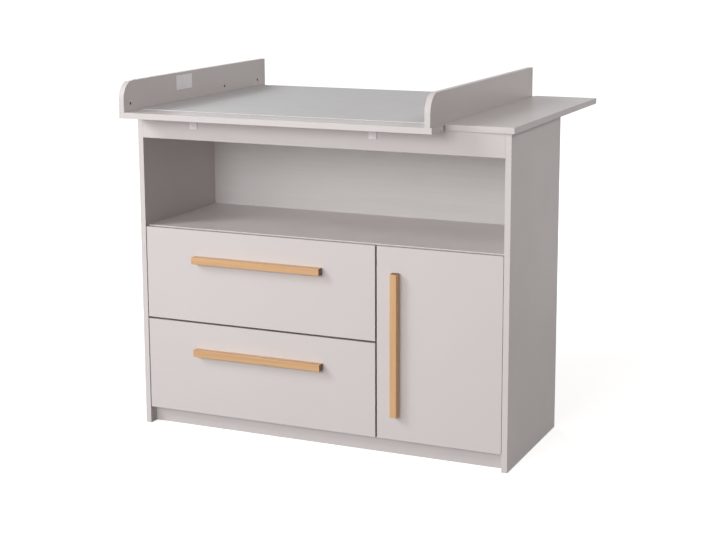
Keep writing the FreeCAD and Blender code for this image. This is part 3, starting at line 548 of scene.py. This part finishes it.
# %% Make the fitting finishes
PLATE_SHADES = (0.86, 1.06)
PLATE_DEPTH = 0.02 * MM
PLATE_SMOOTHER = 0.07           # how far the roughness falls and rises over the lines
PLATE_ROUGHER = 0.10
COAT_SHADES = (0.97, 1.02)
COAT_CLOUDS = 20.0              # per metre
COAT_PEEL = 900.0               # bumps of the orange peel per metre
COAT_DEPTH = 0.04 * MM
COAT_SMOOTHER = 0.05
COAT_ROUGHER = 0.06


def plated_finish(name, colour, roughness, lines):
    """Bright plated metal with fine rolling lines along one direction."""
    material, tree, shader, place = new_finish(name, metallic=1.0)
    rolled = noise(tree, stretched(tree, place, lines), 1.0, detail=4.0)
    darker, lighter = (shade(colour, factor) for factor in PLATE_SHADES)
    tone = blend_colours(tree, rolled, darker, lighter)
    gloss = spread(tree, rolled, roughness - PLATE_SMOOTHER, roughness + PLATE_ROUGHER)
    wire(tree, (tone, shader.inputs["Base Color"]), (gloss, shader.inputs["Roughness"]))
    relief(tree, shader, rolled, PLATE_DEPTH, strength=0.5)
    return material


def coated_finish(name, colour, roughness, peel_per_metre, peel_depth):
    """Powder coat or moulded plastic: one colour with a slight orange peel."""
    material, tree, shader, place = new_finish(name)
    peel = noise(tree, place, peel_per_metre, detail=2.0)
    darker, lighter = (shade(colour, factor) for factor in COAT_SHADES)
    clouds = spread(tree, noise(tree, place, COAT_CLOUDS), 0.0, 1.0)
    tone = blend_colours(tree, clouds, darker, lighter)
    gloss = spread(tree, peel, roughness - COAT_SMOOTHER, roughness + COAT_ROUGHER)
    wire(tree, (tone, shader.inputs["Base Color"]), (gloss, shader.inputs["Roughness"]))
    relief(tree, shader, peel, peel_depth, strength=0.5)
    return material


# plated: colour, roughness, lines per metre along each axis
nickel = plated_finish("nickel_plate", (0.66, 0.64, 0.61), 0.30, (900.0, 900.0, 12.0))
zinc = plated_finish("cast_zinc", (0.48, 0.48, 0.49), 0.45, (500.0, 500.0, 500.0))
screw_steel = plated_finish("screw_plate", (0.60, 0.60, 0.60), 0.28, (700.0, 700.0, 700.0))
# coated: colour, roughness, bumps per metre, their depth
powder_coat = coated_finish("runner_powder_coat", (0.70, 0.69, 0.68), 0.38, COAT_PEEL,
                            COAT_DEPTH)
bracket_coat = coated_finish("bracket_powder_coat", (0.80, 0.77, 0.79), 0.35, COAT_PEEL,
                             COAT_DEPTH)
nylon = coated_finish("wheel_nylon", (0.74, 0.72, 0.66), 0.32, 260.0, 0.03 * MM)
print("fitting finishes made")

# %% [markdown]
# ## Softened edges
# No real board has a knife edge: its band is milled to a tiny round, and that round
# catches the light as a fine line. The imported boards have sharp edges, so each one gets a
# copy with its outer edges bevelled. The copy is merged first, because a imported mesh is
# loose triangles. A bevel modifier would be the other way, but it would round the holes
# and grooves too. These stay sharp, and get the raw board's finish.

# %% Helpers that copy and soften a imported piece
MERGE = 0.01 * MM
FLAT_ANGLE = math.radians(1.0)
SHARP_ANGLE = math.radians(40.0)
ROUND_STEPS = 2
FACE_WEIGHT = 100               # the larger faces decide how the edges are shaded


def merged_copy(node):
    """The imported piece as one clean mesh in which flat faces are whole."""
    shape = bmesh.new()
    shape.from_mesh(frame["nodes"][node].data)
    bmesh.ops.remove_doubles(shape, verts=shape.verts, dist=MERGE)
    bmesh.ops.dissolve_limit(shape, angle_limit=FLAT_ANGLE, verts=shape.verts,
                             edges=shape.edges)
    return shape


def outer_edges(shape, low, high):
    """The long edges along the piece's own box, where two of its sides meet."""
    def planes(vertex):
        return {(axis, side) for axis in range(3) for side, limit in enumerate((low, high))
                if abs(vertex.co[axis] - limit[axis]) < MERGE}
    return [edge for edge in shape.edges
            if len(planes(edge.verts[0]) & planes(edge.verts[1])) >= 2]


def soften(shape, edges, width):
    """Round the chosen edges over a small width."""
    bmesh.ops.bevel(shape, geom=edges, offset=width, offset_type="OFFSET",
                    segments=ROUND_STEPS, profile=0.5, affect="EDGES",
                    clamp_overlap=True, material=-1)


def finish_piece(shape, name, body, materials):
    """Turn a shape into an object with its finishes and let it ride on its body."""
    mesh = bpy.data.meshes.new(name)
    shape.to_mesh(mesh)
    shape.free()
    for material in materials:
        mesh.materials.append(material)
    piece = bpy.data.objects.new(name, mesh)
    scene.collection.objects.link(piece)
    mesh.polygons.foreach_set("use_smooth", [True] * len(mesh.polygons))
    mesh.set_sharp_from_angle(angle=SHARP_ANGLE)
    even = piece.modifiers.new("even_shading", "WEIGHTED_NORMAL")
    even.keep_sharp = True
    even.weight = FACE_WEIGHT
    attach(piece, body)
    return piece


print("edge helpers ready")

# %% [markdown]
# ## The boards
# A board's two wide faces carry the foil and its narrow faces the edge band. The rounded
# front corners of the tray walls are softened along their curve too, as the band there
# runs round the corner. The bands could be strips of their own, but a real one is as thin
# as card and flush, so a second finish on the narrow faces shows the same.

# %% Helpers for boards
BOARD_SOFTNESS = 0.6 * MM
NEAR_SIDE = 1.2 * MM
ROUND_CORNER_STEP = 3.5 * MM
SLOPE = 0.02                    # least share of forwards and of up in a rounded corner
FACING = 0.9                    # share of a normal along an axis that counts as facing it
FOIL_FACE, BAND_FACE, RAW_FACE = range(3)

BOARDS = [node for node, slot in slot_of.items() if slot == "white_board"]
SHELVES = ("compartment_floor", "adjustable_shelf", "bottom_panel")
FRONTS = ("upper_drawer_front", "lower_drawer_front", "door_panel")


def paint_board(shape, low, high):
    """Choose foil, edge band or raw board for every face of a board."""
    size = high - low
    thin = min(range(3), key=lambda axis: size[axis])
    for face in shape.faces:
        middle = face.calc_center_median()
        on_side = any(abs(middle[axis] - limit[axis]) < NEAR_SIDE
                      for axis in range(3) for limit in (low, high))
        reach = [vertex.co[thin] for vertex in face.verts]
        through = max(reach) - min(reach) > size[thin] - 2 * NEAR_SIDE
        if not on_side and not through:
            face.material_index = RAW_FACE
        elif abs(face.normal[thin]) > FACING:
            face.material_index = FOIL_FACE
        else:
            face.material_index = BAND_FACE


def curved_edges(shape, low, high):
    """The edges along a tray wall's rounded corner."""
    found = []
    for edge in shape.edges:
        on_face = any(all(abs(vertex.co.x - limit.x) < MERGE for vertex in edge.verts)
                      for limit in (low, high))
        if not on_face or edge.calc_length() < ROUND_CORNER_STEP:
            continue
        if any(face.normal.y < -SLOPE and face.normal.z > SLOPE for face in edge.link_faces):
            found.append(edge)
    return found


print(len(BOARDS), "boards to dress")

# %% Dress the boards
for node in BOARDS:
    low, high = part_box(node)
    board = merged_copy(node)
    edges = outer_edges(board, low, high)
    if node.endswith("tray_wall"):
        edges += [edge for edge in curved_edges(board, low, high) if edge not in edges]
    soften(board, edges, BOARD_SOFTNESS)
    paint_board(board, low, high)
    # the shelves get the foil with painted light
    face_foil = shelf_painted_light_foil if node in SHELVES else foil
    # the fronts get the band with painted shade, which darkens the gaps between them
    band = gap_shade_band if node in FRONTS else edge_band
    piece = finish_piece(board, node + "_dressed", body_of[node],
                         (face_foil, band, raw_board))
    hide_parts(node)
print(len(BOARDS), "boards dressed")

# %% [markdown]
# ## Thin panels in their grooves
# The back panel and the drawer bottoms show lacquer inside the furniture and bare fibre
# outside. The sheet on the tray lies with its lacquered face up. One material on the whole
# panel would be simpler, but then the back and the underside would look painted.

# %% Dress the thin panels
SHEET_SOFTNESS = 0.5 * MM
LACQUERED_FACE, BARE_FACE = range(2)
BARE_SIDES = {"back_panel": Vector((0, 1, 0)), "upper_drawer_bottom": Vector((0, 0, -1)),
              "lower_drawer_bottom": Vector((0, 0, -1)), "tray_floor_panel": Vector((0, 0, -1))}

for node, bare in BARE_SIDES.items():
    low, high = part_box(node)
    panel = merged_copy(node)
    soften(panel, outer_edges(panel, low, high), SHEET_SOFTNESS)
    for face in panel.faces:
        is_bare = face.normal.dot(bare) > 0.5
        face.material_index = BARE_FACE if is_bare else LACQUERED_FACE
    face_finish = tray_sheet if node == "tray_floor_panel" else lacquer
    piece = finish_piece(panel, node + "_dressed", body_of[node],
                         (face_finish, bare_fibre))
    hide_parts(node)
print("thin panels dressed:", ", ".join(BARE_SIDES))

# %% [markdown]
# ## The handles
# Each handle is a bar with a finger groove along its back. Its long front edges are
# already rounded; the short ones at the ends and along the groove are only broken with
# sandpaper, so they get a smaller bevel. Each bar has one finish along its sides and
# another on its sawn ends, chosen face by face. The bars could be built anew here, but
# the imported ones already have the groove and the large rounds.

# %% Dress the handles
HANDLE_SOFTNESS = 0.6 * MM
SIDE_FACE, END_FACE = range(2)
# each handle: finish of its sides, finish of its ends, axis of its length
HANDLES = {"upper_drawer_handle": (lying_wood, lying_end, ALONG_X),
           "lower_drawer_handle": (lying_wood, lying_end, ALONG_X),
           "door_handle": (upright_wood, upright_end, ALONG_Z)}

for node, (side_finish, end_finish, length_axis) in HANDLES.items():
    low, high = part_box(node)
    bar = merged_copy(node)
    soften(bar, outer_edges(bar, low, high), HANDLE_SOFTNESS)
    for face in bar.faces:
        at_end = any(abs(face.calc_center_median()[length_axis] - limit[length_axis]) < MERGE
                     for limit in (low, high))
        face.material_index = END_FACE if at_end else SIDE_FACE
    piece = finish_piece(bar, node + "_dressed", body_of[node], (side_finish, end_finish))
    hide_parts(node)
print(len(HANDLES), "handles dressed")

# %% [markdown]
# ## Fittings
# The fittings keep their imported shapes. The corner brackets, whose bent edges show below
# the tray, get a small bevel. Runners, hinges, wheels, dowels, cams and screws only get
# their finish. Threads and flutes could be added, but they are hidden in the boards.

# %% Dress the fittings
BRACKET_SOFTNESS = 0.4 * MM
FITTING_FINISH = {"runner_steel": powder_coat, "bracket_steel": bracket_coat,
                  "hinge_steel": nickel, "wheel_nylon": nylon, "dowel_wood": beech,
                  "zinc_cams": zinc, "steel_screws": screw_steel}

fittings = [node for node, slot in slot_of.items() if slot in FITTING_FINISH]
for node in fittings:
    finish = FITTING_FINISH[slot_of[node]]
    if slot_of[node] == "bracket_steel":
        bracket = merged_copy(node)
        folds = [edge for edge in bracket.edges if edge.is_convex
                 and edge.calc_face_angle(0.0) > SHARP_ANGLE]
        soften(bracket, folds, BRACKET_SOFTNESS)
        piece = finish_piece(bracket, node + "_dressed", body_of[node], (finish,))
        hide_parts(node)
    else:
        item = frame["nodes"][node]
        item.data.materials.clear()
        item.data.materials.append(finish)
print(len(fittings), "fittings finished")

# %% [markdown]
# ## Screw heads
# Round heads with a cross recess hold the hinge arms and, painted white, the brackets.
# The hinge cups have flatter ones. A head starts as a low drum with a rounded rim. Cuts
# across its top mark out the cross, which is then pushed in. A dark cross painted on top
# would be quicker, but a recess catches the light as the real one does.

# %% Helpers for screw heads
HEAD_RADIUS = 3.5 * MM
HEAD_HEIGHT = 1.6 * MM
FLAT_HEAD_HEIGHT = 0.5 * MM
CROSS_REACH = 2.1 * MM
CROSS_WIDTH = 0.9 * MM
CROSS_TAPER = 0.7
CROSS_DEPTH = 0.7               # share of the head's height
HEAD_SIDES = 20
RIM_ROUND = 0.4                 # share of the head's height
UPWARDS = 0.99                  # a face of the flat top has at least this much up in it


def turn_head(group, height):
    """A head on the origin that faces +Z; returns its vertices, edges and faces."""
    made = bmesh.ops.create_cone(group, cap_ends=True, segments=HEAD_SIDES,
                                 radius1=HEAD_RADIUS, radius2=HEAD_RADIUS, depth=height)
    bmesh.ops.translate(group, verts=made["verts"], vec=(0, 0, height / 2))
    rim = [edge for edge in group.edges
           if all(vertex.co.z > height / 2 for vertex in edge.verts)]
    soften(group, rim, height * RIM_ROUND)
    for normal in (Vector((1, 0, 0)), Vector((0, 1, 0))):
        for reach in (-CROSS_REACH, -CROSS_WIDTH / 2, CROSS_WIDTH / 2, CROSS_REACH):
            top = [face for face in group.faces if face.normal.z > UPWARDS]
            around = [edge for edge in group.edges
                      if any(face.normal.z > UPWARDS for face in edge.link_faces)]
            bmesh.ops.bisect_plane(group, geom=top + around, plane_co=normal * reach,
                                   plane_no=normal, dist=MERGE / 10)
    cross = []
    for face in group.faces:
        along, across = sorted(abs(value) for value in face.calc_center_median()[:2])
        if face.normal.z > UPWARDS and along < CROSS_WIDTH / 2 and across < CROSS_REACH:
            cross.append(face)
    sunk = bmesh.ops.extrude_face_region(group, geom=cross)["geom"]
    floor_points = [item for item in sunk if isinstance(item, bmesh.types.BMVert)]
    bmesh.ops.scale(group, verts=floor_points, vec=(CROSS_TAPER, CROSS_TAPER, 1))
    bmesh.ops.translate(group, verts=floor_points, vec=(0, 0, -height * CROSS_DEPTH))
    return list(group.verts) + list(group.edges) + list(group.faces)


def screw_heads(name, body, places, height=HEAD_HEIGHT, finish=screw_steel):
    """One piece with a head at every place, each facing its own way."""
    group = bmesh.new()
    pattern = turn_head(group, height)
    for place, facing in places:
        copy = bmesh.ops.duplicate(group, geom=pattern)["geom"]
        points = [item for item in copy if isinstance(item, bmesh.types.BMVert)]
        turn = Vector(facing).to_track_quat("Z", "Y").to_matrix().to_4x4()
        bmesh.ops.transform(group, verts=points, matrix=Matrix.Translation(place) @ turn)
    spare = [item for item in pattern if isinstance(item, bmesh.types.BMVert)]
    bmesh.ops.delete(group, geom=spare, context="VERTS")
    finish_piece(group, name, body, (finish,))
    print(name, "-", len(places), "heads")


def solids_of(node):
    """The box of every separate solid in a node, as pairs of corners."""
    shape = merged_copy(node)
    visited = set()
    boxes = []
    for start in shape.verts:
        if start in visited:
            continue
        visited.add(start)
        solid = [start]
        for vertex in solid:            # the list grows as neighbours are found
            for edge in vertex.link_edges:
                neighbour = edge.other_vert(vertex)
                if neighbour not in visited:
                    visited.add(neighbour)
                    solid.append(neighbour)
        boxes.append([Vector([limit(vertex.co[axis] for vertex in solid) for axis in range(3)])
                      for limit in (min, max)])
    shape.free()
    return boxes


print("screw heads are", round(2 * HEAD_RADIUS / MM), "mm wide")

# %% Fasten brackets and hinges
BRACKET_SHEET = 3 * MM
BRACKET_SCREW = 7 * MM          # lower end or tip of a bracket's leg to its screw
ARM_FACE = 28 * MM              # nose of a hinge arm to the side of its long part
ARM_SCREWS = (25 * MM, 48 * MM)
CUP_SCREW_INSET = 7 * MM

# the tray's front brackets and the side board's rear one have their upright leg behind
bracket_places = []
for node in ("front_tray_brackets", "rear_tray_brackets", "side_board_brackets"):
    for low, high in solids_of(node):
        stands_behind = low.y > 0
        rear_leg = stands_behind if node == "side_board_brackets" else not stands_behind
        middle = (low.x + high.x) / 2
        face_y = high.y - BRACKET_SHEET if rear_leg else low.y + BRACKET_SHEET
        tip_y = low.y + BRACKET_SCREW if rear_leg else high.y - BRACKET_SCREW
        bracket_places.append((Vector((middle, face_y, low.z + BRACKET_SCREW)),
                               (0, -1 if rear_leg else 1, 0)))
        bracket_places.append((Vector((middle, tip_y, high.z - BRACKET_SHEET)), (0, 0, -1)))
screw_heads("bracket_screw_heads", "carcass", bracket_places, finish=bracket_coat)

arm_places, cup_places = [], []
for level in ("upper", "lower"):
    low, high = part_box(f"{level}_hinge_arm")
    arm_places += [(Vector((low.x + ARM_FACE, low.y + reach, (low.z + high.z) / 2)),
                    (-1, 0, 0)) for reach in ARM_SCREWS]
    low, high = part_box(f"{level}_hinge_cup")
    cup_places += [(Vector(((low.x + high.x) / 2, high.y, height)), (0, 1, 0))
                   for height in (low.z + CUP_SCREW_INSET, high.z - CUP_SCREW_INSET)]
screw_heads("hinge_arm_screw_heads", "carcass", arm_places)
screw_heads("hinge_cup_screw_heads", "door", cup_places, FLAT_HEAD_HEIGHT)

# %% [markdown]
# ## The label's place
# A small plain paper label sits on the inner face of the left tray wall. It stays bare.
# It is a block as thin as strong paper with its corners bevelled round, because a patch
# that is only painted on the wall would have no edge of its own.

# %% Stick on the bare label
LABEL_FRONT = -139 * MM
LABEL_REAR = -52 * MM
LABEL_LOW = 930 * MM
LABEL_HIGH = 971 * MM
LABEL_THICKNESS = 0.15 * MM
LABEL_CORNER = 2.0 * MM
LABEL_CORNER_STEPS = 5
LABEL_COLOUR = (0.93, 0.91, 0.94)

wall_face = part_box("left_tray_wall")[1].x
label = bmesh.new()
bmesh.ops.create_cube(label, size=1.0)
bmesh.ops.scale(label, verts=label.verts, vec=(LABEL_THICKNESS, LABEL_REAR - LABEL_FRONT,
                                               LABEL_HIGH - LABEL_LOW))
bmesh.ops.translate(label, verts=label.verts,
                    vec=(wall_face + LABEL_THICKNESS / 2, (LABEL_FRONT + LABEL_REAR) / 2,
                         (LABEL_LOW + LABEL_HIGH) / 2))
corners = [edge for edge in label.edges
           if abs(edge.verts[0].co.x - edge.verts[1].co.x) > LABEL_THICKNESS / 2]
bmesh.ops.bevel(label, geom=corners, offset=LABEL_CORNER, offset_type="OFFSET",
                segments=LABEL_CORNER_STEPS, profile=0.5, affect="EDGES", clamp_overlap=True,
                material=-1)
paper = coated_finish("label_paper", LABEL_COLOUR, 0.30, 500.0, 0.02 * MM)
finish_piece(label, "bare_label", "carcass", (paper,))
print("bare label", round((LABEL_REAR - LABEL_FRONT) / MM), "mm long")
